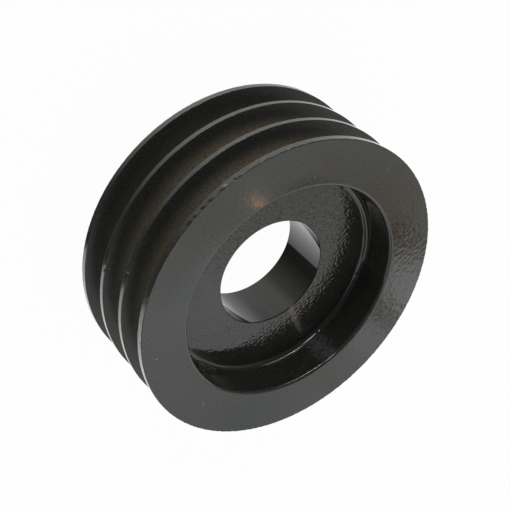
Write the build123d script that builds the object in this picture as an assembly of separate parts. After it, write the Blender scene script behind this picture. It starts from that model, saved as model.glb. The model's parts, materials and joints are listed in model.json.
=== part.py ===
from build123d import *

import os
from math import radians, tan

# A V-belt pulley with three grooves, cast in iron and turned as one piece.
# It lies flat on its back end face. Z is the axis of rotation, from the back face at
# Z = 0 up to the front face, where the deeper recess opens. Sizes are in millimetres.

# Rim, and the grooves that carry the belts
outer_diameter = 163.0
groove_count = 3
groove_pitch = 19.0  # from the middle of one groove to the middle of the next
groove_mouth = 16.3  # width of a groove at the outer diameter
groove_depth = 17.5  # from the outer diameter to the groove's root
groove_angle = 34.0  # degrees between the two flanks
groove_root_radius = 1.0  # rounded corner where a flank meets the root
front_margin = 11.6  # front face to the middle of the nearest groove
back_margin = 11.45  # back face to the middle of the nearest groove
land_edge_radius = 0.3  # edges of the lands between and beside the grooves
face_edge_break = 0.4  # chamfer round the outside of each end face

# Recesses in the two ends, and the web between them
rim_wall = 6.15  # metal between the groove roots and the mouth of a recess
recess_draft = 1.5  # degrees that the cast wall leans in towards the web
recess_mouth_radius = 1.5  # rounded edge where a recess opens in its end face
recess_corner_radius = 4.0  # casting fillet between the wall and the web
front_recess_depth = 19.2
web_thickness = 28.15

# Bore
bore_diameter = 57.7
bore_edge_break = 0.5  # chamfer at both ends of the bore

# Places that follow from the sizes above
outer_radius = outer_diameter / 2
bore_radius = bore_diameter / 2
groove_root = outer_radius - groove_depth
recess_mouth = groove_root - rim_wall
rim_width = back_margin + (groove_count - 1) * groove_pitch + front_margin
web_front = rim_width - front_recess_depth
web_back = web_front - web_thickness
groove_middles = [back_margin + number * groove_pitch for number in range(groove_count)]
end_recesses = [(rim_width, web_front), (0, web_back)]  # face and floor of each
tool_runout = 2.0  # how far a cutting outline starts outside the metal


def corner(section, radius, height):
    """The corner of a flat section nearest to a radius and a height."""
    return section.vertices().sort_by_distance((radius, height, 0))[0]


def groove_section(middle):
    """One belt groove: a V with a flat root, which opens past the outer diameter."""
    lean = tan(radians(groove_angle / 2))
    root_half = groove_mouth / 2 - groove_depth * lean
    start_half = groove_mouth / 2 + tool_runout * lean
    start = outer_radius + tool_runout
    vee = make_face(
        Polyline(
            (start, middle - start_half),
            (groove_root, middle - root_half),
            (groove_root, middle + root_half),
            (start, middle + start_half),
            close=True,
        )
    )
    root_radius = min(groove_root_radius, 0.8 * root_half)
    for side in (-root_half, root_half):
        vee = fillet(corner(vee, groove_root, middle + side), root_radius)
    return vee


def recess_foot(face, floor):
    """Radius at which a recess's drafted wall would meet the web."""
    return recess_mouth - abs(face - floor) * tan(radians(recess_draft))


def recess_section(face, floor):
    """A recess from an end face to the web, open past the face and over the bore."""
    runout = tool_runout if face > floor else -tool_runout
    start_radius = recess_mouth + tool_runout * tan(radians(recess_draft))
    return make_face(
        Polyline(
            (0, face + runout),
            (0, floor),
            (recess_foot(face, floor), floor),
            (start_radius, face + runout),
            close=True,
        )
    )


def half_section():
    """All the metal on one side of the axis, drawn as radius and height."""
    wall = outer_radius - bore_radius
    section = Pos(bore_radius + wall / 2, rim_width / 2) * Rectangle(wall, rim_width)
    for middle in groove_middles:
        section -= groove_section(middle)
    for face, floor in end_recesses:
        section -= recess_section(face, floor)

    for face, floor in end_recesses:
        foot = recess_foot(face, floor)
        section = chamfer(corner(section, outer_radius, face), face_edge_break)
        section = fillet(corner(section, recess_mouth, face), recess_mouth_radius)
        section = fillet(corner(section, foot, floor), recess_corner_radius)
        section = chamfer(corner(section, bore_radius, floor), bore_edge_break)
    for middle in groove_middles:
        for edge in (middle - groove_mouth / 2, middle + groove_mouth / 2):
            section = fillet(corner(section, outer_radius, edge), land_edge_radius)
    return section


pulley = revolve(Plane.XZ * half_section(), Axis.Z)
pulley.label = "pulley"

os.makedirs("parts", exist_ok=True)
export_step(pulley, "parts/pulley.step")
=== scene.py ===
"""Looks of a three-groove belt pulley: black gloss paint on cast and turned iron.

The pulley lies flat on its back end. Its axis is Z, its deep recess opens upwards, and all
sizes are metres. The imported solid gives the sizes; this file turns a finer, painted surface
round the same section, and sets it on a plain white floor in front of the camera.
"""

import json
import logging
import math
from dataclasses import dataclass, field
from enum import Enum

import bpy
import numpy as np
from mathutils import Matrix, Vector


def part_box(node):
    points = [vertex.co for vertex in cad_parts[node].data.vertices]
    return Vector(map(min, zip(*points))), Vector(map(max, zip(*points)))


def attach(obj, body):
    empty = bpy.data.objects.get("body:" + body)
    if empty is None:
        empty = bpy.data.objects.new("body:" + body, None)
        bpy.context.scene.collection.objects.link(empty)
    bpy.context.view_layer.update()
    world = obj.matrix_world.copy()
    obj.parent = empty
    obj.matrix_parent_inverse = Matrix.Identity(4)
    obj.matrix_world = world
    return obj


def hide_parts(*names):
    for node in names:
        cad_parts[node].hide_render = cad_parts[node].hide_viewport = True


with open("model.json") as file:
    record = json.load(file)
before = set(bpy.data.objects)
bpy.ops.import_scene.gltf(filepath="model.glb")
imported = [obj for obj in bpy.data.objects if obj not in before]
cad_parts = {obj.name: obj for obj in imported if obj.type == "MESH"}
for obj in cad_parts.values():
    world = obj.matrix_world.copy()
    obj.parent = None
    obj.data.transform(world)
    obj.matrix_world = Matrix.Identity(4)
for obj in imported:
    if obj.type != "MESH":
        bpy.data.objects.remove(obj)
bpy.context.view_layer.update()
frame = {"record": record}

LOG = logging.getLogger("pulley")
MM = 0.001
FULL_TURN = 2 * math.pi
Color = tuple[float, float, float, float]
Light = tuple[float, float, float]
Socket = bpy.types.NodeSocket
DUST_COLOR: Color = (0.16, 0.15, 0.13, 1.0)
PURE_WHITE: Color = (1.0, 1.0, 1.0, 1.0)


class Zone(Enum):
    """Kinds of surface on the pulley, in the order of the body's material slots."""

    FACE = 0
    LAND = 1
    GROOVE = 2
    RECESS = 3
    WEB = 4
    BORE = 5


@dataclass(frozen=True)
class Corner:
    """One corner of the turned section, and the straight side that leaves it.

    Args:
        radius: distance from the axis, in metres.
        height: height above the back face, in metres.
        round_off: radius of the rounded corner, in metres.
        arc_zone: finish of the rounded corner.
        side_zone: finish of the side from this corner to the next.
        arc_steps: segments in the rounded corner.
        side_steps: segments in the side.
    """

    radius: float
    height: float
    round_off: float
    arc_zone: Zone
    side_zone: Zone
    arc_steps: int = 3
    side_steps: int = 1


@dataclass(frozen=True)
class Section:
    """The closed outline of the metal, point by point.

    Args:
        points: radius and height of each point, in metres.
        normals: outward normal at each point, as radius and height.
        zones: number of the zone of the segment that leaves each point.
        rounded: which points lie inside a rounded corner.
    """

    points: np.ndarray
    normals: np.ndarray
    zones: np.ndarray
    rounded: np.ndarray

    @property
    def lengths(self) -> np.ndarray:
        """Length of the segment that leaves each point."""
        return np.linalg.norm(np.roll(self.points, -1, axis=0) - self.points, axis=1)

    @property
    def face_edges(self) -> np.ndarray:
        """Which points lie on a flat end face or at its edge, outside the rounded corners."""
        beside = (self.zones == Zone.FACE.value) | (np.roll(self.zones, 1) == Zone.FACE.value)
        return beside & ~self.rounded

    @property
    def travel(self) -> np.ndarray:
        """Distance along the outline to each point, and last to the first one again."""
        return np.concatenate([[0.0], np.cumsum(self.lengths)])


def rounded_section(corners: list[Corner]) -> Section:
    """Rounds the corners of a closed outline.

    At a corner that turns by an angle t, the arc of radius q starts q * tan(t / 2) before the
    corner and ends as far after it. Its points are the centre plus q times the unit normal,
    which turns evenly from the first side's normal to the second's.

    Args:
        corners: the outline's corners in order, with the metal on the right of the path.

    Returns:
        The outline's points and normals, the zone of the segment that leaves each point, and
        which points lie inside a rounded corner.
    """
    places = np.array([[c.radius, c.height] for c in corners])
    ahead = np.roll(places, -1, axis=0) - places
    ahead /= np.linalg.norm(ahead, axis=1)[:, None]
    behind = np.roll(ahead, 1, axis=0)
    turn = np.arctan2(
        behind[:, 0] * ahead[:, 1] - behind[:, 1] * ahead[:, 0], (behind * ahead).sum(axis=1)
    )
    reach = np.array([c.round_off for c in corners]) * np.tan(np.abs(turn) / 2)
    starts = places - behind * reach[:, None]
    ends = places + ahead * reach[:, None]

    points, normals, zones, rounded = [], [], [], []
    for number, corner in enumerate(corners):
        before = np.array([-behind[number, 1], behind[number, 0]])
        steps = np.arange(corner.arc_steps) / corner.arc_steps
        angle = steps * turn[number]
        out = np.stack(
            [
                before[0] * np.cos(angle) - before[1] * np.sin(angle),
                before[0] * np.sin(angle) + before[1] * np.cos(angle),
            ],
            axis=1,
        )
        lift = -np.sign(turn[number]) * corner.round_off
        points.append(starts[number] + lift * (out - before))
        normals.append(out)
        zones += [corner.arc_zone.value] * corner.arc_steps
        rounded += [False] + [True] * (corner.arc_steps - 1)

        share = np.arange(corner.side_steps)[:, None] / corner.side_steps
        following = starts[(number + 1) % len(corners)]
        points.append(ends[number] + share * (following - ends[number]))
        after = np.array([-ahead[number, 1], ahead[number, 0]])
        normals.append(np.repeat(after[None, :], corner.side_steps, axis=0))
        zones += [corner.side_zone.value] * corner.side_steps
        rounded += [False] * corner.side_steps
    return Section(
        np.concatenate(points), np.concatenate(normals), np.array(zones), np.array(rounded)
    )


@dataclass(frozen=True)
class Blemish:
    """A bead of paint, or a nick, on the turned surface.

    Args:
        azimuth_deg: angle round the axis from +X towards +Y.
        radius: distance of its middle from the axis, in metres.
        height: height of its middle, in metres.
        rise: how far it stands out of the surface, in metres; below zero for a nick.
        spread: its half width round the axis, in metres.
        reach: its half width across that, in metres.
    """

    azimuth_deg: float
    radius: float
    height: float
    rise: float
    spread: float
    reach: float


@dataclass
class PulleySizes:
    """Sizes of the pulley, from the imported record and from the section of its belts.

    The rim wall and the rounding of a recess's mouth and foot follow the fine highlights on
    those edges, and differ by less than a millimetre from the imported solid. The sizes without
    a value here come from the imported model.

    Args:
        groove_count: number of belt grooves.
        groove_mouth: width of a groove at the outer radius, in metres.
        groove_depth: depth of a groove, in metres.
        groove_angle_deg: angle between a groove's flanks.
        groove_root_round: rounding where a flank meets the groove's bottom, in metres.
        land_edge_round: rounding of a land's edge beside a groove, in metres.
        face_edge_round: rounding of the outer edge of an end face, in metres.
        rim_wall: metal between the grooves' bottoms and the mouth of a recess, in metres.
        recess_draft_deg: how far the wall of a recess leans in towards the web.
        recess_mouth_round: rounding where a recess opens, in metres.
        recess_corner_round: rounding where its wall meets the web, in metres.
        bore_edge_round: rounding of the bore's two edges, in metres.
    """

    groove_count: int = 3
    groove_mouth: float = 16.3 * MM
    groove_depth: float = 17.5 * MM
    groove_angle_deg: float = 34.0
    groove_root_round: float = 1.0 * MM
    land_edge_round: float = 0.3 * MM
    face_edge_round: float = 0.4 * MM
    rim_wall: float = 6.35 * MM
    recess_draft_deg: float = 1.5
    recess_mouth_round: float = 1.75 * MM
    recess_corner_round: float = 3.2 * MM
    bore_edge_round: float = 0.5 * MM
    outer_radius: float = field(init=False)
    width: float = field(init=False)
    bore_radius: float = field(init=False)
    web_front: float = field(init=False)
    web_back: float = field(init=False)
    groove_middles: list[float] = field(init=False)

    def __post_init__(self) -> None:
        """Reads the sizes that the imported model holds."""
        low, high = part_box("pulley")
        mounts = {mount["name"]: mount for mount in frame["record"]["mounts"]}
        self.outer_radius = min(high.x - low.x, high.y - low.y) / 2
        self.width = high.z - low.z
        self.bore_radius = mounts["bore"]["dims"]["r_mm"] * MM
        self.web_front = mounts["front_web_face"]["pos_m"][2]
        self.web_back = mounts["back_web_face"]["pos_m"][2]
        self.groove_middles = [
            mounts[f"belt_groove_{number + 1}"]["pos_m"][2] for number in range(self.groove_count)
        ]

    @property
    def groove_root(self) -> float:
        """Radius at the bottom of the grooves."""
        return self.outer_radius - self.groove_depth

    @property
    def groove_root_half(self) -> float:
        """Half the width of a groove's flat bottom."""
        lean = math.tan(math.radians(self.groove_angle_deg / 2))
        return self.groove_mouth / 2 - self.groove_depth * lean

    @property
    def recess_mouth(self) -> float:
        """Radius at which both recesses open in the end faces."""
        return self.groove_root - self.rim_wall

    def recess_foot(self, depth: float) -> float:
        """Radius at which a recess's drafted wall would meet the web.

        Args:
            depth: depth of the recess, in metres.

        Returns:
            The radius, in metres.
        """
        return self.recess_mouth - depth * math.tan(math.radians(self.recess_draft_deg))


@dataclass
class PulleyBody:
    """The one piece of the pulley: rim, web and bore wall, turned from one section.

    Args:
        sizes: the pulley's sizes.
        around: steps once round the axis.
        seed: start of the random waves and chips.
        edge_wave_height: height of the waves on the front rim's edges, in metres.
        edge_wave_orders: how many of those waves go once round, for each of them.
        other_edges_share: height of the waves on all other lands' edges, as a share of that.
        casting_wave_height: height of the waves on the recess walls, in metres.
        casting_wave_orders: how many of those waves go once round, for each of them.
        chip_count: number of small chips on the near side of the front rim.
        chip_arc_deg: azimuths between which they lie.
    """

    sizes: PulleySizes
    around: int = 720
    seed: int = 7
    edge_wave_height: float = 0.17 * MM
    edge_wave_orders: range = range(40, 230, 3)
    other_edges_share: float = 0.35
    casting_wave_height: float = 0.16 * MM
    casting_wave_orders: range = range(2, 28)
    chip_count: int = 15
    chip_arc_deg: tuple[float, float] = (250.0, 302.0)

    def corners(self) -> list[Corner]:
        """The section's corners, from the bore's back edge round to the back web face.

        Returns:
            The corners in order, with the metal on the right of the path.
        """
        s = self.sizes
        front_foot = s.recess_foot(s.width - s.web_front)
        back_foot = s.recess_foot(s.web_back)
        bore_edge, mouth, foot = s.bore_edge_round, s.recess_mouth_round, s.recess_corner_round
        out, half, root_half = s.outer_radius, s.groove_mouth / 2, s.groove_root_half
        face, land, groove = Zone.FACE, Zone.LAND, Zone.GROOVE
        recess, web, bore = Zone.RECESS, Zone.WEB, Zone.BORE
        path = [
            Corner(s.bore_radius, s.web_back, bore_edge, bore, bore, 3, 3),
            Corner(s.bore_radius, s.web_front, bore_edge, bore, web, 3, 6),
            Corner(front_foot, s.web_front, foot, recess, recess, 8, 4),
            Corner(s.recess_mouth, s.width, mouth, face, face, 8, 6),
            Corner(out, s.width, s.face_edge_round, land, land, 3, 4),
        ]
        for middle in reversed(s.groove_middles):
            path += [
                Corner(out, middle + half, s.land_edge_round, land, groove, 3, 3),
                Corner(s.groove_root, middle + root_half, s.groove_root_round, groove, groove, 3),
                Corner(s.groove_root, middle - root_half, s.groove_root_round, groove, groove, 3, 3),
                Corner(out, middle - half, s.land_edge_round, land, land, 3, 2),
            ]
        path += [
            Corner(out, 0.0, s.face_edge_round, land, face, 3, 4),
            Corner(s.recess_mouth, 0.0, mouth, face, recess, 6, 2),
            Corner(back_foot, s.web_back, foot, recess, web, 6, 3),
        ]
        return path

    def blemishes(self) -> list[Blemish]:
        """Chips and beads of paint along the front rim, beads in the recess, and nicks in edges.

        The small chips on the near side of the rim are spread at random, the same in every run.
        The beads at the recess's foot sit in the middle of its rounded corner.

        Returns:
            The blemishes that show from the front.
        """
        s = self.sizes
        rim, top, mouth, half = s.outer_radius, s.width, s.recess_mouth, s.groove_mouth / 2
        bead, small, inset = 0.30 * MM, 0.18 * MM, 0.9 * MM
        foot, floor = s.recess_foot(top - s.web_front) - inset, s.web_front + inset
        random = np.random.default_rng(self.seed + 1)
        chips = [
            Blemish(
                random.uniform(*self.chip_arc_deg),
                rim,
                top - random.uniform(0.1, 0.5) * MM,
                random.choice([-0.28, -0.18, 0.16]) * MM,
                random.uniform(0.4, 1.1) * MM,
                random.uniform(0.3, 0.45) * MM,
            )
            for _ in range(self.chip_count)
        ]
        return chips + [
            Blemish(260.7, rim - 0.1 * MM, top - 0.7 * MM, 1.6 * bead, 0.8 * MM, 0.6 * MM),
            Blemish(272.9, rim - 0.2 * MM, top - 0.5 * MM, bead, 0.8 * MM, 0.6 * MM),
            Blemish(280.9, rim - 0.2 * MM, top - 0.5 * MM, small, 0.7 * MM, 0.5 * MM),
            Blemish(245.7, rim - 0.1 * MM, top - 1.1 * MM, small, 0.6 * MM, 0.4 * MM),
            Blemish(276.4, rim - 0.1 * MM, top - 0.5 * MM, -bead, 1.3 * MM, 0.6 * MM),
            Blemish(284.6, rim - 0.1 * MM, top - 0.4 * MM, -bead, 1.1 * MM, 0.5 * MM),
            Blemish(293.7, mouth, top - 0.2 * MM, -bead, 0.8 * MM, 0.6 * MM),
            Blemish(108.2, mouth - 0.2 * MM, top - 0.6 * MM, bead, 0.7 * MM, 0.7 * MM),
            Blemish(84.3, foot, floor, bead, 0.5 * MM, 0.6 * MM),
            Blemish(90.6, foot, floor, bead, 0.6 * MM, 0.6 * MM),
            Blemish(121.8, foot, floor, bead, 0.9 * MM, 0.6 * MM),
            Blemish(11.6, mouth, top - 0.3 * MM, small, 0.5 * MM, 0.5 * MM),
            Blemish(309.0, rim, s.groove_middles[1] - half, -bead, 0.7 * MM, 0.6 * MM),
            Blemish(235.0, rim, s.groove_middles[0] + half, -small, 0.9 * MM, 0.5 * MM),
            Blemish(303.0, rim, s.groove_middles[2] - half, -bead, 0.6 * MM, 0.5 * MM),
            Blemish(229.0, rim, s.groove_middles[1] + half, -small, 0.9 * MM, 0.5 * MM),
            Blemish(314.8, rim, s.groove_middles[2] + half, -bead, 0.6 * MM, 0.5 * MM),
        ]

    def relief(self, section: Section, turn: np.ndarray) -> np.ndarray:
        """How far the surface stands off the perfect turned shape.

        The recess walls wave by a sum of cosines round the axis, whose heights fall with their
        order. The lands' rounded edges carry finer, uneven waves, tallest on the front rim. A
        blemish adds a bell: its rise times the exponential of minus the squared distance round
        the axis and across it, each over its own half width.

        Args:
            section: the turned outline.
            turn: angles round the axis, in radians.

        Returns:
            Offsets along the normal in metres, one row for each outline point.
        """
        random = np.random.default_rng(self.seed)
        orders = np.array(self.casting_wave_orders)
        # Each draw has a spare second row, so that the draws after it stay the same.
        phases = random.uniform(0, FULL_TURN, (2, len(orders)))[0]
        heights = random.uniform(0.3, 1.0, (2, len(orders)))[0] / np.sqrt(orders)
        wavy = (heights[:, None] * np.cos(np.outer(orders, turn) + phases[:, None])).sum(axis=0)
        wavy /= np.abs(wavy).max()
        fine = np.array(self.edge_wave_orders)
        phases = random.uniform(0, FULL_TURN, len(fine))
        ragged = np.cos(np.outer(fine, turn) + phases[:, None]).sum(axis=0)
        ragged /= np.abs(ragged).max()

        leaving = section.zones
        arriving = np.roll(section.zones, 1)
        cast = (leaving == Zone.RECESS.value) & (arriving == Zone.RECESS.value)
        height = np.outer(cast * self.casting_wave_height, wavy)
        edge = section.rounded & (leaving == Zone.LAND.value)
        on_front = section.points[:, 1] > self.sizes.width - 1 * MM
        share = np.where(on_front, 1.0, self.other_edges_share)
        height += np.outer(edge * share * self.edge_wave_height, ragged)
        for mark in self.blemishes():
            away = np.angle(np.exp(1j * (turn - math.radians(mark.azimuth_deg)))) * mark.radius
            across = np.linalg.norm(section.points - [mark.radius, mark.height], axis=1)
            bell = np.exp(-((across / mark.reach) ** 2))[:, None] * np.exp(-((away / mark.spread) ** 2))
            height += mark.rise * bell
        height[section.face_edges] = 0.0
        return height

    def normals(self, section: Section, turn: np.ndarray, height: np.ndarray) -> np.ndarray:
        """Directions in which the turned surface faces.

        Each is the section's own normal, tilted back by the relief's slopes along the outline
        and round the axis. The flat end faces aren't tilted along the outline.

        Args:
            section: the turned outline.
            turn: angles round the axis, in radians.
            height: the relief, one row for each outline point.

        Returns:
            Vectors of length 1, one for each outline point and angle.
        """
        radius, out, up = section.points[:, :1], section.normals[:, :1], section.normals[:, 1:]
        cos, sin = np.cos(turn), np.sin(turn)
        straight = np.stack(np.broadcast_arrays(out * cos, out * sin, up), axis=2)
        along = np.stack(np.broadcast_arrays(up * cos, up * sin, -out), axis=2)
        around = np.stack(np.broadcast_arrays(-sin, cos, 0 * out), axis=2)

        step = (section.lengths + np.roll(section.lengths, 1))[:, None]
        slope_along = (np.roll(height, -1, axis=0) - np.roll(height, 1, axis=0)) / step
        slope_along[section.face_edges] = 0.0
        arc = 2 * radius * FULL_TURN / len(turn)
        slope_around = (np.roll(height, -1, axis=1) - np.roll(height, 1, axis=1)) / arc
        tilted = straight - slope_along[:, :, None] * along - slope_around[:, :, None] * around
        return tilted / np.linalg.norm(tilted, axis=2)[:, :, None]

    def mesh(self) -> bpy.types.Mesh:
        """Turns the section round the axis.

        The point at outline place k and angle a is (r cos a, r sin a, z), moved along the
        section's normal by the relief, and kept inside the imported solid's box.

        Returns:
            A closed mesh with one quad for each outline segment and angle step.
        """
        section = rounded_section(self.corners())
        rows, columns = len(section.points), self.around
        turn = np.arange(columns) * FULL_TURN / columns
        height = self.relief(section, turn)
        normals = self.normals(section, turn, height)
        offset = section.normals[:, :, None] * height[:, None, :]
        radius = np.minimum(section.points[:, :1] + offset[:, 0], self.sizes.outer_radius)
        level = np.clip(section.points[:, 1:] + offset[:, 1], 0.0, self.sizes.width)
        places = np.stack([radius * np.cos(turn), radius * np.sin(turn), level], axis=2)

        row, column = np.meshgrid(np.arange(rows), np.arange(columns), indexing="ij")
        next_row, next_column = (row + 1) % rows, (column + 1) % columns
        quads = np.stack(
            [
                row * columns + column,
                next_row * columns + column,
                next_row * columns + next_column,
                row * columns + next_column,
            ],
            axis=2,
        ).reshape(-1, 4)

        mesh = bpy.data.meshes.new("pulley_body")
        mesh.vertices.add(rows * columns)
        mesh.vertices.foreach_set("co", places.astype(np.float32).ravel())
        mesh.loops.add(quads.size)
        mesh.loops.foreach_set("vertex_index", quads.astype(np.int32).ravel())
        mesh.polygons.add(len(quads))
        mesh.polygons.foreach_set("loop_start", np.arange(0, quads.size, 4, dtype=np.int32))
        mesh.polygons.foreach_set("material_index", np.repeat(section.zones, columns).astype(np.int32))
        mesh.update(calc_edges=True)
        self.wrap(mesh, section)
        mesh.shade_smooth()
        mesh.normals_split_custom_set_from_vertices(normals.reshape(-1, 3).tolist())
        mesh.validate()
        return mesh

    def wrap(self, mesh: bpy.types.Mesh, section: Section) -> None:
        """Gives the mesh a UV map: u goes once round the axis, v once round the section.

        Args:
            mesh: the turned mesh, whose quads run outline row by outline row.
            section: the outline that it was turned from.
        """
        rows, columns = len(section.points), self.around
        travel = section.travel / section.travel[-1]
        u0 = np.tile(np.arange(columns) / columns, rows)
        v0 = np.repeat(travel[:-1], columns)
        v1 = np.repeat(travel[1:], columns)
        u1 = u0 + 1 / columns
        corners = np.stack([u0, v0, u0, v1, u1, v1, u1, v0], axis=1)
        layer = mesh.uv_layers.new(name="wrap")
        layer.data.foreach_set("uv", corners.astype(np.float32).ravel())

    def build(self, finishes: dict[Zone, bpy.types.Material]) -> bpy.types.Object:
        """Makes the body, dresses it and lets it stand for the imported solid.

        Args:
            finishes: the material of each zone.

        Returns:
            The finished body.
        """
        body = bpy.data.objects.new("pulley_body", self.mesh())
        bpy.context.scene.collection.objects.link(body)
        for zone in Zone:
            body.data.materials.append(finishes[zone])
        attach(body, "root")
        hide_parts("pulley")
        return body


class NodeSheet:
    """The nodes of a material or of the world, added one by one and joined by name."""

    def __init__(self, owner: bpy.types.Material | bpy.types.World) -> None:
        """Starts with the owner's nodes, and empties them.

        Args:
            owner: the material or the world that the nodes belong to.
        """
        owner.use_nodes = True
        self.nodes = owner.node_tree.nodes
        self.links = owner.node_tree.links
        self.nodes.clear()

    def add(self, kind: str, values: dict | None = None, **settings: str) -> bpy.types.Node:
        """Adds a node.

        Args:
            kind: the node's type name.
            values: what each input socket holds, by its name or number: a number, a colour or
                another node's output.
            settings: properties of the node itself.

        Returns:
            The new node.
        """
        node = self.nodes.new(kind)
        for key, value in settings.items():
            setattr(node, key, value)
        for key, value in (values or {}).items():
            if isinstance(value, Socket):
                self.links.new(value, node.inputs[key])
            else:
                node.inputs[key].default_value = value
        return node

    def noise(self, place: Socket, size: float, detail: float = 2.0) -> Socket:
        """Soft noise whose blobs are about as wide as a length.

        Args:
            place: the point that the noise is read at.
            size: width of a blob, in metres.
            detail: number of finer layers.

        Returns:
            The noise's value, from 0 to 1 and mostly from 0.3 to 0.7.
        """
        node = self.add("ShaderNodeTexNoise", {"Vector": place, "Scale": 0.5 / size, "Detail": detail})
        return node.outputs["Fac"]

    def reach_towards(self, place: Socket, azimuth_deg: float) -> Socket:
        """How far a point lies from the axis towards one side, or a direction leans that way.

        Args:
            place: the point, or the direction.
            azimuth_deg: that side's direction round the axis, from +X towards +Y.

        Returns:
            The distance in metres, or the lean from -1 to 1. It is below zero on the other side.
        """
        azimuth = math.radians(azimuth_deg)
        side = (math.cos(azimuth), math.sin(azimuth), 0.0)
        node = self.add("ShaderNodeVectorMath", {0: place, 1: side}, operation="DOT_PRODUCT")
        return node.outputs["Value"]

    def ramp(self, value: Socket, low: float, high: float, start: float = 0.0, end: float = 1.0) -> Socket:
        """Carries a value smoothly from one range to another.

        Args:
            value: the value to carry.
            low: value that becomes start.
            high: value that becomes end.
            start: result at low.
            end: result at high.

        Returns:
            The carried value, kept between start and end.
        """
        node = self.add(
            "ShaderNodeMapRange",
            {"Value": value, "From Min": low, "From Max": high, "To Min": start, "To Max": end},
            interpolation_type="SMOOTHSTEP",
        )
        return node.outputs["Result"]

    def height_share(self, place: Socket, low: float, high: float, start: float = 0.0) -> Socket:
        """Carries a point's height above the back face to a share.

        Args:
            place: the point.
            low: height up to which the share is lowest, in metres.
            high: height from which it is 1, in metres.
            start: the lowest share.

        Returns:
            The share.
        """
        parts = self.add("ShaderNodeSeparateXYZ", {"Vector": place})
        return self.ramp(parts.outputs["Z"], low, high, start)

    def sums(self, operation: str, first: Socket, second: Socket | float) -> Socket:
        """Adds, multiplies or compares two values.

        Args:
            operation: the sum's name, such as ADD or MULTIPLY.
            first: one value.
            second: the other, a number or another node's output.

        Returns:
            The result.
        """
        node = self.add("ShaderNodeMath", {0: first, 1: second}, operation=operation)
        return node.outputs["Value"]

    def blend(self, share: Socket, first: Socket | Color, second: Socket | Color) -> Socket:
        """Mixes two colours.

        Args:
            share: how much of the second colour shows.
            first: a colour, or another node's output.
            second: a colour, or another node's output.

        Returns:
            The mixed colour.
        """
        node = self.add("ShaderNodeMix", {"Factor": share, 6: first, 7: second}, data_type="RGBA")
        return node.outputs[2]


@dataclass(frozen=True)
class Mark:
    """A soft patch of colour that lies flat on the front of the pulley: a stain, a scuff, a painted glint
    or a painted reflection.

    Args:
        azimuth_deg: angle of its middle round the axis, from +X towards +Y.
        radius: distance of its middle from the axis, in metres.
        turn_deg: direction of its long side, from +X towards +Y.
        half_length: half its length, in metres.
        half_width: half its width, in metres.
        color: its own colour.
        strength: how much of the paint it covers at its middle.
    """

    azimuth_deg: float
    radius: float
    turn_deg: float
    half_length: float
    half_width: float
    color: Color
    strength: float

    def cover(self, sheet: NodeSheet, place: Socket) -> Socket:
        """How much of the paint the mark covers: strength * (1 - smoothstep(0.3, 1, q)).

        The point is moved and turned to the mark and divided by its half length and half
        width, and q is the length of the result.

        Args:
            sheet: the material's nodes.
            place: the surface point, in the pulley's own frame.

        Returns:
            A value from 0 to the strength.
        """
        azimuth = math.radians(self.azimuth_deg)
        local = sheet.add(
            "ShaderNodeMapping",
            {
                "Vector": place,
                "Location": (self.radius * math.cos(azimuth), self.radius * math.sin(azimuth), 0.0),
                "Rotation": (0.0, 0.0, math.radians(self.turn_deg)),
                "Scale": (self.half_length, self.half_width, 1.0),
            },
            vector_type="TEXTURE",
        ).outputs["Vector"]
        reach = sheet.add("ShaderNodeVectorMath", {0: local}, operation="LENGTH").outputs["Value"]
        return sheet.ramp(reach, 1.0, 0.3, 0.0, self.strength)


@dataclass(frozen=True)
class OversprayAndPaintedLight:
    """A thin, dull brown coat low in the grooves, made stronger towards one side as painted light from the
    long overhead light, which the floor keeps from the grooves.

    Args:
        top: radius at which the coat starts, in metres.
        bottom: radius at which it is full, in metres.
        azimuth_deg: direction round the axis of that painted light, where the coat is strongest.
        far_share: its share of the full coat on the sides turned away from there.
        far_reach: distance towards the lit side below which that share holds, in metres.
        near_reach: distance towards the lit side from which the coat is full, in metres.
        back_share: its share of the full coat in the groove furthest back.
        back_level: height up to which that share holds, in metres.
        front_level: height from which the coat is full, in metres.
        grain_share: its share of the full coat between the blobs of its grain.
        grain_size: width of those blobs, in metres.
        color: its own colour.
        dullness: how much more it blurs reflections.
    """

    top: float
    bottom: float
    azimuth_deg: float = 235.0
    far_share: float = 0.6
    far_reach: float = 50 * MM
    near_reach: float = 70 * MM
    back_share: float = 0.22
    back_level: float = 9 * MM
    front_level: float = 23 * MM
    grain_share: float = 0.35
    grain_size: float = 0.3 * MM
    color: Color = (0.292, 0.240, 0.178, 1.0)
    dullness: float = 0.15

    def lay(self, sheet: NodeSheet, place: Socket, base: Socket, gloss: Socket) -> tuple[Socket, Socket]:
        """Lays the coat over a paint.

        Its cover is the product of four shares: by depth in the groove, by its grain, by
        height and by how far the point lies towards the side of the painted light.

        Args:
            sheet: the material's nodes.
            place: the surface point, in the pulley's own frame.
            base: the paint's colour.
            gloss: the paint's roughness.

        Returns:
            The colour and the roughness with the coat.
        """
        flat = sheet.add("ShaderNodeVectorMath", {0: place, 1: (1.0, 1.0, 0.0)}, operation="MULTIPLY")
        length = sheet.add("ShaderNodeVectorMath", {0: flat.outputs["Vector"]}, operation="LENGTH")
        depth = sheet.ramp(length.outputs["Value"], self.top, self.bottom)
        grain = sheet.ramp(sheet.noise(place, self.grain_size, 3.0), 0.36, 0.64, self.grain_share)
        level = sheet.height_share(place, self.back_level, self.front_level, self.back_share)
        # Painted light: the coat grows towards the side that the long overhead light falls on.
        side = sheet.reach_towards(place, self.azimuth_deg)
        lit_side_share = sheet.ramp(side, self.far_reach, self.near_reach, self.far_share)
        cover = depth
        for share in (grain, level, lit_side_share):
            cover = sheet.sums("MULTIPLY", cover, share)
        dull = sheet.sums("ADD", gloss, sheet.sums("MULTIPLY", depth, self.dullness))
        return sheet.blend(cover, base, self.color), dull


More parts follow.
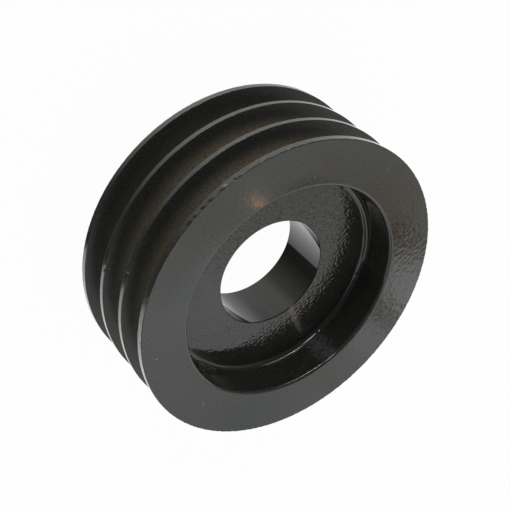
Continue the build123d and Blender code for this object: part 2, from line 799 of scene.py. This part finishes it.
@dataclass(frozen=True)
class PaintFinish:
    """Black paint on iron.

    Args:
        name: the material's name.
        color: the paint's colour; the darker blacks of the grooves, recess and bore are painted shade.
        roughness: how far reflections blur at the smoothest places.
        rough_spread: how much more they blur at the roughest places.
        cloud_size: width of the faint clouds in the paint, in metres.
        cloud_depth: how much darker the paint's colour is in them.
        peel_size: width of the fine ripples in the paint, in metres.
        peel_height: height of those ripples on the coarse side, in metres.
        peel_calm: share of that height on the smooth side.
        coarse_azimuth_deg: direction round the axis in which the coat is coarsest.
        coarse_from: distance from the axis that way at which the coat starts to coarsen, in metres.
        coarse_to: distance at which it is coarsest, in metres.
        coarse_drift: how far those two distances wander to and fro, in metres.
        drift_size: width of the blobs by which they wander, in metres.
        grain: how much paler the paint's finest specks are.
        grain_size: width of those specks, in metres.
        pimple_size: size of the cells that hold the casting's pimples, in metres.
        pimple_height: height of those pimples on the coarse side, in metres.
        pimple_calm: share of that height for the tallest pimples on the smooth side.
        dust_share: share of the dust's cells that hold a pale speck.
        dust_spacing: size of those cells, in metres.
        overspray_and_light: the brown coat over this paint, with its painted light, if there is one.
        marks: stains, scuffs, painted glints and painted reflections on this paint.
        marks_above: height above which the marks show, in metres, so that the back has none.
        breakup_size: width of the blobs that break the marks up, in metres.
        breakup_share: share of a mark that still shows where it is broken up most.
    """

    name: str
    color: Color = (0.0242, 0.0249, 0.0228, 1.0)
    roughness: float = 0.06
    rough_spread: float = 0.02
    cloud_size: float = 12 * MM
    cloud_depth: float = 0.2
    peel_size: float = 0.5 * MM
    peel_height: float = 0.03 * MM
    peel_calm: float = 0.5
    coarse_azimuth_deg: float = 140.0
    coarse_from: float = 25 * MM
    coarse_to: float = 65 * MM
    coarse_drift: float = 20 * MM
    drift_size: float = 16 * MM
    grain: float = 0.012
    grain_size: float = 0.5 * MM
    pimple_size: float = 2.0 * MM
    pimple_height: float = 0.0
    pimple_calm: float = 0.6
    dust_share: float = 0.01
    dust_spacing: float = 2.6 * MM
    overspray_and_light: OversprayAndPaintedLight | None = None
    marks: tuple[Mark, ...] = ()
    marks_above: float = 0.0
    breakup_size: float = 0.7 * MM
    breakup_share: float = 0.45

    def material(self) -> bpy.types.Material:
        """Builds the paint's nodes.

        Returns:
            The finished material.
        """
        material = bpy.data.materials.new(self.name)
        sheet = NodeSheet(material)
        place = sheet.add("ShaderNodeTexCoord").outputs["Object"]
        shader = sheet.add("ShaderNodeBsdfPrincipled", {"Metallic": 0.0, "IOR": 1.5})
        sheet.add("ShaderNodeOutputMaterial", {"Surface": shader.outputs["BSDF"]})
        self.color_nodes(sheet, place, shader)
        self.bump_nodes(sheet, place, shader)
        return material

    def color_nodes(self, sheet: NodeSheet, place: Socket, shader: bpy.types.Node) -> None:
        """Colour and gloss: clouds and grain in the paint, the brown coat with its painted light, dust,
        stains and scuffs, and painted glints and reflections.

        Args:
            sheet: the material's nodes.
            place: the surface point, in the pulley's own frame.
            shader: the surface shader.
        """
        cloud = sheet.noise(place, self.cloud_size, 3.0)
        deep = tuple((1 - self.cloud_depth) * channel for channel in self.color[:3]) + (1.0,)
        base = sheet.blend(cloud, self.color, deep)
        fine = sheet.ramp(sheet.noise(place, self.grain_size), 0.3, 0.75)
        pale = tuple(channel + self.grain for channel in self.color[:3]) + (1.0,)
        base = sheet.blend(fine, base, pale)
        gloss = sheet.ramp(cloud, 0.3, 0.7, self.roughness, self.roughness + self.rough_spread)
        if self.overspray_and_light:
            base, gloss = self.overspray_and_light.lay(sheet, place, base, gloss)
        base = sheet.blend(self.dust(sheet, place), base, DUST_COLOR)
        # The marks are stains and scuffs, and also painted glints and a painted reflection, all broken up
        # by the same blobs.
        if self.marks:
            mark_breakup = sheet.ramp(sheet.noise(place, self.breakup_size, 3.0), 0.3, 0.6, self.breakup_share)
            front = sheet.height_share(place, self.marks_above, self.marks_above + 1 * MM)
            mark_breakup = sheet.sums("MULTIPLY", mark_breakup, front)
            for mark in self.marks:
                cover = sheet.sums("MULTIPLY", mark.cover(sheet, place), mark_breakup)
                base = sheet.blend(cover, base, mark.color)
        sheet.links.new(base, shader.inputs["Base Color"])
        sheet.links.new(gloss, shader.inputs["Roughness"])

    def dust(self, sheet: NodeSheet, place: Socket) -> Socket:
        """Specks of dust: a few cells of a Voronoi pattern hold one at their middle.

        A cell holds one where its random value is close enough to 1. The speck is whole up to
        0.08 of the cell's size from the middle, and ends at 0.16.

        Args:
            sheet: the material's nodes.
            place: the surface point, in the pulley's own frame.

        Returns:
            How far a speck covers the paint, from 0 to 1.
        """
        cell = sheet.add("ShaderNodeTexVoronoi", {"Vector": place, "Scale": 1 / self.dust_spacing})
        near = sheet.ramp(cell.outputs["Distance"], 0.16, 0.08)
        chosen = sheet.add("ShaderNodeSeparateColor", {"Color": cell.outputs["Color"]}).outputs["Red"]
        return sheet.sums("MULTIPLY", near, sheet.ramp(chosen, 1 - self.dust_share, 1.0))

    def pimples(self, sheet: NodeSheet, place: Socket, reach: Socket, share: Socket) -> Socket:
        """Pimples of the casting: domes at the middles of a Voronoi pattern's cells.

        A dome reaches 0.32 of a cell's size, and the cell's random value gives its height. On
        the coarse side most cells hold one. Towards the smooth side only the tallest stay, at
        their calm share.

        Args:
            sheet: the material's nodes.
            place: the surface point, in the pulley's own frame.
            reach: the point's distance towards the coarse side.
            share: how coarse the coat is there.

        Returns:
            The height of the pimples, in metres.
        """
        cell = sheet.add("ShaderNodeTexVoronoi", {"Vector": place, "Scale": 1 / self.pimple_size})
        dome = sheet.ramp(cell.outputs["Distance"], 0.32, 0.0)
        tall = sheet.add("ShaderNodeSeparateColor", {"Color": cell.outputs["Color"]}).outputs["Green"]
        dome = sheet.sums("MULTIPLY", dome, self.pimple_height)
        many = sheet.sums("MULTIPLY", sheet.ramp(tall, 0.2, 1.0), share)
        calm = sheet.ramp(reach, self.coarse_from, self.coarse_to, self.pimple_calm, 0.0)
        few = sheet.sums("MULTIPLY", sheet.ramp(tall, 0.45, 0.95), calm)
        return sheet.sums("MULTIPLY", dome, sheet.sums("ADD", many, few))

    def bump_nodes(self, sheet: NodeSheet, place: Socket, shader: bpy.types.Node) -> None:
        """Fine relief: ripples of orange peel, and the casting's pimples under the paint.

        Args:
            sheet: the material's nodes.
            place: the surface point, in the pulley's own frame.
            shader: the surface shader.
        """
        side = sheet.reach_towards(place, self.coarse_azimuth_deg)
        drift = sheet.sums("MULTIPLY", sheet.noise(place, self.drift_size, 1.0), 2 * self.coarse_drift)
        reach = sheet.sums("ADD", side, sheet.sums("SUBTRACT", drift, self.coarse_drift))
        share = sheet.ramp(reach, self.coarse_from, self.coarse_to, self.peel_calm)
        peel = sheet.sums("MULTIPLY", sheet.noise(place, self.peel_size, 0.6), self.peel_height)
        height = sheet.sums("MULTIPLY", peel, share)
        if self.pimple_height:
            height = sheet.sums("ADD", height, self.pimples(sheet, place, reach, share))
        bump = sheet.add("ShaderNodeBump", {"Height": height, "Strength": 1.0, "Distance": 1.0})
        sheet.links.new(bump.outputs["Normal"], shader.inputs["Normal"])


def paint_finishes(sizes: PulleySizes) -> dict[Zone, bpy.types.Material]:
    """One finish for each zone of the pulley.

    Args:
        sizes: the pulley's sizes.

    Returns:
        The material of each zone.
    """
    pale, tan = (0.15, 0.145, 0.125, 1.0), (0.20, 0.145, 0.095, 1.0)
    # Pale streaks at 6.8° and 189.5°, a red-brown blotch at 223.6° and small pale dots at 329.4° and
    # 225.4°; the dot at 225.4° is a painted glint.
    face_stains_and_glint = (
        Mark(6.8, 69.0 * MM, 40.0, 2.2 * MM, 0.8 * MM, pale, 0.6),
        Mark(189.5, 73.7 * MM, 20.0, 2.2 * MM, 0.9 * MM, pale, 0.35),
        Mark(223.6, 68.6 * MM, 60.0, 2.5 * MM, 1.6 * MM, (0.10, 0.06, 0.05, 1.0), 0.35),
        Mark(329.4, 74.5 * MM, 0.0, 0.5 * MM, 0.4 * MM, (0.5, 0.5, 0.48, 1.0), 0.9),
        Mark(225.4, 63.2 * MM, 0.0, 0.4 * MM, 0.4 * MM, (0.3, 0.3, 0.28, 1.0), 0.8),
    )
    # Painted reflection: a tan streak across the web, the warm lamp mirrored by the recess wall and the
    # web, in line with the lamp's highlights on the wall, foot and mouth.
    web_painted_reflection = (
        Mark(77.0, 35.0 * MM, 74.5, 15.0 * MM, 2.7 * MM, tan, 0.7),
        Mark(76.3, 43.0 * MM, 74.5, 10.0 * MM, 1.9 * MM, (0.17, 0.145, 0.115, 1.0), 0.5),
    )
    paints = {
        Zone.FACE: PaintFinish(
            "face_paint",
            peel_size=1.0 * MM,
            peel_height=0.036 * MM,
            peel_calm=0.28,
            coarse_azimuth_deg=145.0,
            grain=0.022,
            marks=face_stains_and_glint,
            marks_above=sizes.width / 2,
        ),
        Zone.LAND: PaintFinish("land_paint", roughness=0.12, peel_height=0.012 * MM, grain=0.006),
        Zone.GROOVE: PaintFinish(
            "groove_paint",
            # Painted shade: this black is darker than the face's, so that the grooves stay as dark as
            # their shade.
            color=(0.0168, 0.0174, 0.0160, 1.0),
            roughness=0.32,
            peel_height=0.03 * MM,
            peel_calm=1.0,
            grain=0.02,
            overspray_and_light=OversprayAndPaintedLight(
                top=sizes.outer_radius - 3.5 * MM,
                bottom=sizes.outer_radius - 13 * MM,
            ),
        ),
        Zone.RECESS: PaintFinish(
            "recess_paint",
            # Painted shade: this black is darker than the face's, so that the recess walls stay dark.
            color=(0.0180, 0.0185, 0.0169, 1.0),
            roughness=0.08,
            peel_height=0.009 * MM,
            grain=0.004,
        ),
        Zone.WEB: PaintFinish(
            "web_paint",
            peel_size=0.8 * MM,
            peel_height=0.19 * MM,
            peel_calm=0.2,
            coarse_azimuth_deg=155.0,
            coarse_from=-38 * MM,
            coarse_to=-4 * MM,
            pimple_size=1.4 * MM,
            pimple_height=0.12 * MM,
            grain=0.006,
            marks=web_painted_reflection,
            marks_above=sizes.width / 2,
        ),
        Zone.BORE: PaintFinish(
            "bore_paint",
            # Painted shade: this black is darker than the face's, so that the bore stays dark.
            color=(0.0160, 0.0164, 0.0151, 1.0),
            roughness=0.05,
            peel_height=0.002 * MM,
            grain=0.002,
            dust_share=0.002,
        ),
    }
    return {zone: paint.material() for zone, paint in paints.items()}


@dataclass(frozen=True)
class Glow:
    """A soft patch of light or shade in the studio, far away in one direction.

    Args:
        azimuth_deg: direction of its middle round the axis, from +X towards +Y.
        elevation_deg: direction of its middle above the level.
        half_width_deg: how far it reaches to either side.
        half_height_deg: how far it reaches up and down.
        color: light that it adds at its middle; a negative value takes light away.
        core: share of its reach that is even, before it fades.
    """

    azimuth_deg: float
    elevation_deg: float
    half_width_deg: float
    half_height_deg: float
    color: Light
    core: float = 0.0

    def weight(self, sheet: NodeSheet, way: Socket) -> Socket:
        """How much of the glow shows in a direction.

        The direction's parts across and along the patch are divided by the sines of its half
        width and half height. The length q of the two gives 1 - smoothstep(core, 1, q), and
        nothing shows behind.

        Args:
            sheet: the world's nodes.
            way: the direction.

        Returns:
            A value from 0 to 1.
        """
        azimuth, elevation = math.radians(self.azimuth_deg), math.radians(self.elevation_deg)
        across = Vector((-math.sin(azimuth), math.cos(azimuth), 0.0))
        middle = Vector(
            (
                math.cos(elevation) * math.cos(azimuth),
                math.cos(elevation) * math.sin(azimuth),
                math.sin(elevation),
            )
        )
        along = middle.cross(across)
        local = sheet.add(
            "ShaderNodeMapping",
            {
                "Vector": way,
                "Rotation": Matrix((across, along, middle)).transposed().to_euler(),
                "Scale": (
                    math.sin(math.radians(self.half_width_deg)),
                    math.sin(math.radians(self.half_height_deg)),
                    1.0,
                ),
            },
            vector_type="TEXTURE",
        ).outputs["Vector"]
        parts = sheet.add("ShaderNodeSeparateXYZ", {"Vector": local})
        flat = sheet.add("ShaderNodeCombineXYZ", {"X": parts.outputs["X"], "Y": parts.outputs["Y"]})
        reach = sheet.add("ShaderNodeVectorMath", {0: flat.outputs["Vector"]}, operation="LENGTH")
        inside = sheet.ramp(reach.outputs["Value"], 1.0, self.core)
        ahead = sheet.sums("GREATER_THAN", parts.outputs["Z"], 0.0)
        return sheet.sums("MULTIPLY", inside, ahead)


@dataclass
class Studio:
    """Plain white floor, soft light and the camera.

    The light is that round a pulley which stands on its rim, on a white table in a darker
    room with a long light overhead. It is turned with the pulley, which lies flat here: up
    becomes up_azimuth_deg, and the table fills the directions that lean away from it.

    Args:
        sizes: the pulley's sizes.
        floor_half: half the floor's side, in metres.
        floor_color: the floor's own colour.
        white_share: how much of the floor a camera sees as plain white.
        up_azimuth_deg: direction round the axis that is up for the light.
        table_dip: how far a direction leans away from up where the table begins, as a sine.
        table_edge_blur: half the width of the table's soft edge, as a sine.
        table_light: even light from the table.
        room_light: even light from the room.
        camera_back: the camera's distance from the axis towards -Y, in metres.
        camera_aside: its distance from the axis towards +X, in metres.
        camera_up: its height above the front face, in metres.
        camera_tilt_deg: how far it looks down.
        camera_roll_deg: how far it is turned about its line of sight.
        lens_mm: its focal length.
        sensor_mm: width of its sensor.
    """

    sizes: PulleySizes
    floor_half: float = 4.0
    floor_color: Color = (0.8, 0.8, 0.8, 1.0)
    white_share: float = 0.975
    up_azimuth_deg: float = 234.5
    table_dip: float = 0.215
    table_edge_blur: float = 0.012
    table_light: Light = (1.26, 1.27, 1.23)
    room_light: Light = (0.14, 0.14, 0.13)
    camera_back: float = 416.5 * MM
    camera_aside: float = -0.7 * MM
    camera_up: float = 351.2 * MM
    camera_tilt_deg: float = 42.88
    camera_roll_deg: float = 133.58
    lens_mm: float = 80.69
    sensor_mm: float = 36.0

    def room_glows(self) -> list[Glow]:
        """Light above the table's edge: a long overhead light, pale walls, lamps and low strips.

        Returns:
            The patches of light, and one of shade.
        """
        return [
            Glow(228.0, -60.0, 46.0, 38.0, (2.08, 2.10, 1.94)),
            Glow(158.0, -40.0, 60.0, 50.0, (0.77, 0.78, 0.78), 0.2),
            Glow(133.0, -42.0, 12.0, 8.0, (0.43, 0.46, 0.46)),
            Glow(156.0, -44.0, 22.0, 16.0, (0.25, 0.26, 0.26)),
            Glow(284.0, -44.0, 28.0, 20.0, (0.28, 0.26, 0.22)),
            Glow(192.0, -37.0, 24.0, 8.0, (-0.45, -0.45, -0.38)),
            Glow(246.0, -38.0, 20.0, 9.0, (0.35, 0.36, 0.36)),
            Glow(251.0, 28.0, 8.0, 15.0, (6.6, 7.4, 7.3), 0.3),
            Glow(234.0, 11.0, 14.0, 1.8, (52.0, 52.0, 50.0), 0.3),
            Glow(214.0, 11.0, 22.0, 1.6, (27.0, 27.0, 25.8), 0.3),
            Glow(130.0, 40.0, 16.0, 14.0, (0.6, 0.57, 0.52)),
            Glow(150.0, 50.0, 36.0, 24.0, (0.35, 0.33, 0.30)),
        ]

    def table_glows(self) -> list[Glow]:
        """Light and shade on the table in front of the pulley.

        The narrow patches are what the glossy end face and web mirror in one place each.

        Returns:
            The patches of light and shade.
        """
        return [
            Glow(22.0, -47.0, 34.0, 16.0, (0.51, 0.53, 0.56), 0.3),
            Glow(106.0, -42.0, 18.0, 12.0, (0.34, 0.38, 0.42), 0.2),
            Glow(344.5, -50.0, 11.0, 7.2, (-1.6, -1.6, -1.6), 0.6),
            Glow(14.0, 42.0, 36.0, 17.0, (-1.0, -1.0, -1.0), 0.4),
            Glow(90.0, 38.0, 24.0, 16.0, (-0.22, -0.21, -0.20), 0.3),
            Glow(82.0, 45.0, 12.0, 8.0, (0.29, 0.30, 0.31)),
            Glow(86.0, 43.2, 3.6, 2.4, (0.24, 0.30, 0.35)),
            Glow(94.0, 42.3, 2.7, 1.8, (-1.00, -1.07, -1.14), 0.4),
            Glow(92.3, 43.7, 1.1, 0.8, (-0.45, -0.47, -0.50), 0.3),
            Glow(95.6, 40.9, 1.3, 0.8, (0.25, 0.25, 0.25), 0.2),
            Glow(118.0, 40.0, 12.0, 9.0, (-0.40, -0.40, -0.40), 0.2),
            Glow(89.5, 45.8, 4.5, 1.8, (-0.18, -0.20, -0.27)),
            Glow(81.5, 37.0, 5.0, 3.0, (-0.19, -0.15, -0.11)),
            Glow(88.0, 45.0, 3.0, 2.0, (-0.15, -0.19, -0.21)),
            Glow(84.2, 44.8, 2.2, 1.6, (-0.26, -0.26, -0.26)),
            Glow(88.2, 43.9, 2.0, 1.1, (0.45, 0.47, 0.50)),
            Glow(98.5, 43.5, 3.0, 2.0, (-0.04, -0.10, -0.19)),
            Glow(91.7, 35.8, 2.2, 1.8, (0.44, 0.46, 0.52), 0.2),
            Glow(92.9, 36.4, 0.85, 1.6, (-0.85, -1.02, -1.18), 0.3),
            Glow(95.3, 36.0, 2.1, 1.5, (0.76, 0.78, 0.81), 0.6),
            Glow(95.3, 37.2, 1.6, 0.9, (0.16, 0.13, 0.10), 0.3),
            Glow(97.1, 38.0, 1.2, 1.1, (-0.78, -0.90, -0.98), 0.3),
            Glow(98.4, 38.8, 3.0, 2.4, (-0.06, -0.14, -0.20), 0.4),
            Glow(96.5, 40.6, 6.0, 3.4, (-0.25, -0.33, -0.42)),
            Glow(87.55, 35.7, 0.35, 0.9, (-0.30, -0.33, -0.32)),
            Glow(92.8, 44.48, 0.4, 0.4, (8.0, 4.4, 1.7), 0.2),
            Glow(92.8, 44.6, 0.8, 0.7, (0.60, 0.30, 0.10)),
        ]

    def floor(self) -> bpy.types.Object:
        """A plain floor under the pulley that a camera sees as nearly white.

        Returns:
            The floor.
        """
        half = self.floor_half
        mesh = bpy.data.meshes.new("floor")
        corners = [(-half, -half, 0.0), (half, -half, 0.0), (half, half, 0.0), (-half, half, 0.0)]
        mesh.from_pydata(corners, [], [(0, 1, 2, 3)])
        floor = bpy.data.objects.new("floor", mesh)
        bpy.context.scene.collection.objects.link(floor)
        material = bpy.data.materials.new("floor_white")
        sheet = NodeSheet(material)
        matt = sheet.add("ShaderNodeBsdfDiffuse", {"Color": self.floor_color})
        white = sheet.add("ShaderNodeEmission", {"Color": PURE_WHITE, "Strength": 1.0})
        seen = sheet.add("ShaderNodeLightPath").outputs["Is Camera Ray"]
        share = sheet.sums("MULTIPLY", seen, self.white_share)
        both = {"Fac": share, 1: matt.outputs["BSDF"], 2: white.outputs["Emission"]}
        mix = sheet.add("ShaderNodeMixShader", both)
        sheet.add("ShaderNodeOutputMaterial", {"Surface": mix.outputs["Shader"]})
        mesh.materials.append(material)
        floor.visible_glossy = False
        return floor

    def sky(self) -> bpy.types.World:
        """The studio's light, and plain white where the camera sees past the floor.

        Returns:
            The world.
        """
        world = bpy.data.worlds.new("studio")
        sheet = NodeSheet(world)
        way = sheet.add("ShaderNodeTexCoord").outputs["Generated"]
        lean = sheet.reach_towards(way, self.up_azimuth_deg)
        blur = self.table_edge_blur
        on_table = sheet.ramp(lean, blur - self.table_dip, -blur - self.table_dip)
        room = self.summed(sheet, way, self.room_light, self.room_glows())
        table = self.summed(sheet, way, self.table_light, self.table_glows())
        color = sheet.blend(on_table, room, table)
        soft = sheet.add("ShaderNodeBackground", {"Color": color, "Strength": 1.0})
        plain = sheet.add("ShaderNodeBackground", {"Color": PURE_WHITE, "Strength": 1.0})
        seen = sheet.add("ShaderNodeLightPath").outputs["Is Camera Ray"]
        both = {"Fac": seen, 1: soft.outputs["Background"], 2: plain.outputs["Background"]}
        mix = sheet.add("ShaderNodeMixShader", both)
        sheet.add("ShaderNodeOutputWorld", {"Surface": mix.outputs["Shader"]})
        bpy.context.scene.world = world
        return world

    def summed(self, sheet: NodeSheet, way: Socket, start: Light, glows: list[Glow]) -> Socket:
        """Adds glows to an even light, and keeps the sum from falling below zero.

        Args:
            sheet: the world's nodes.
            way: the direction.
            start: the even light.
            glows: the patches of light and shade.

        Returns:
            The light in that direction.
        """
        total = start
        for glow in glows:
            node = sheet.add(
                "ShaderNodeVectorMath",
                {0: glow.weight(sheet, way), 1: glow.color, 2: total},
                operation="MULTIPLY_ADD",
            )
            total = node.outputs["Vector"]
        kept = sheet.add("ShaderNodeVectorMath", {0: total, 1: (0.0, 0.0, 0.0)}, operation="MAXIMUM")
        return kept.outputs["Vector"]

    def camera(self) -> bpy.types.Object:
        """The camera, at the photograph's distance, tilt and roll.

        Returns:
            The camera.
        """
        tilt, roll = math.radians(self.camera_tilt_deg), math.radians(self.camera_roll_deg)
        level_right = Vector((1.0, 0.0, 0.0))
        ahead = Vector((0.0, math.cos(tilt), -math.sin(tilt)))
        level_up = level_right.cross(ahead)
        right = level_right * math.cos(roll) + level_up * math.sin(roll)
        up = right.cross(ahead)
        lens = bpy.data.cameras.new("camera")
        lens.lens = self.lens_mm
        lens.sensor_width = self.sensor_mm
        lens.clip_start, lens.clip_end = 0.01, 50.0
        camera = bpy.data.objects.new("camera", lens)
        turned = Matrix((right, up, -ahead)).transposed().to_4x4()
        place = Vector((self.camera_aside, -self.camera_back, self.sizes.width + self.camera_up))
        camera.matrix_world = Matrix.Translation(place) @ turned
        bpy.context.scene.collection.objects.link(camera)
        bpy.context.scene.camera = camera
        return camera

    def build(self) -> None:
        """Makes the floor, the light and the camera, and reports each."""
        for made in (self.floor(), self.sky(), self.camera()):
            LOG.info("%s ready", made.name)
        bpy.context.scene.view_settings.view_transform = "Standard"


def main() -> None:
    """Builds the pulley and the studio, and reports each piece."""
    logging.basicConfig(level=logging.INFO, format="%(name)s: %(message)s")
    sizes = PulleySizes()
    LOG.info("outer radius %.2f mm, width %.2f mm", sizes.outer_radius / MM, sizes.width / MM)
    body = PulleyBody(sizes).build(paint_finishes(sizes))
    LOG.info("%s: %d points, %d faces", body.name, len(body.data.vertices), len(body.data.polygons))
    Studio(sizes).build()


if __name__ == "__main__":
    main()
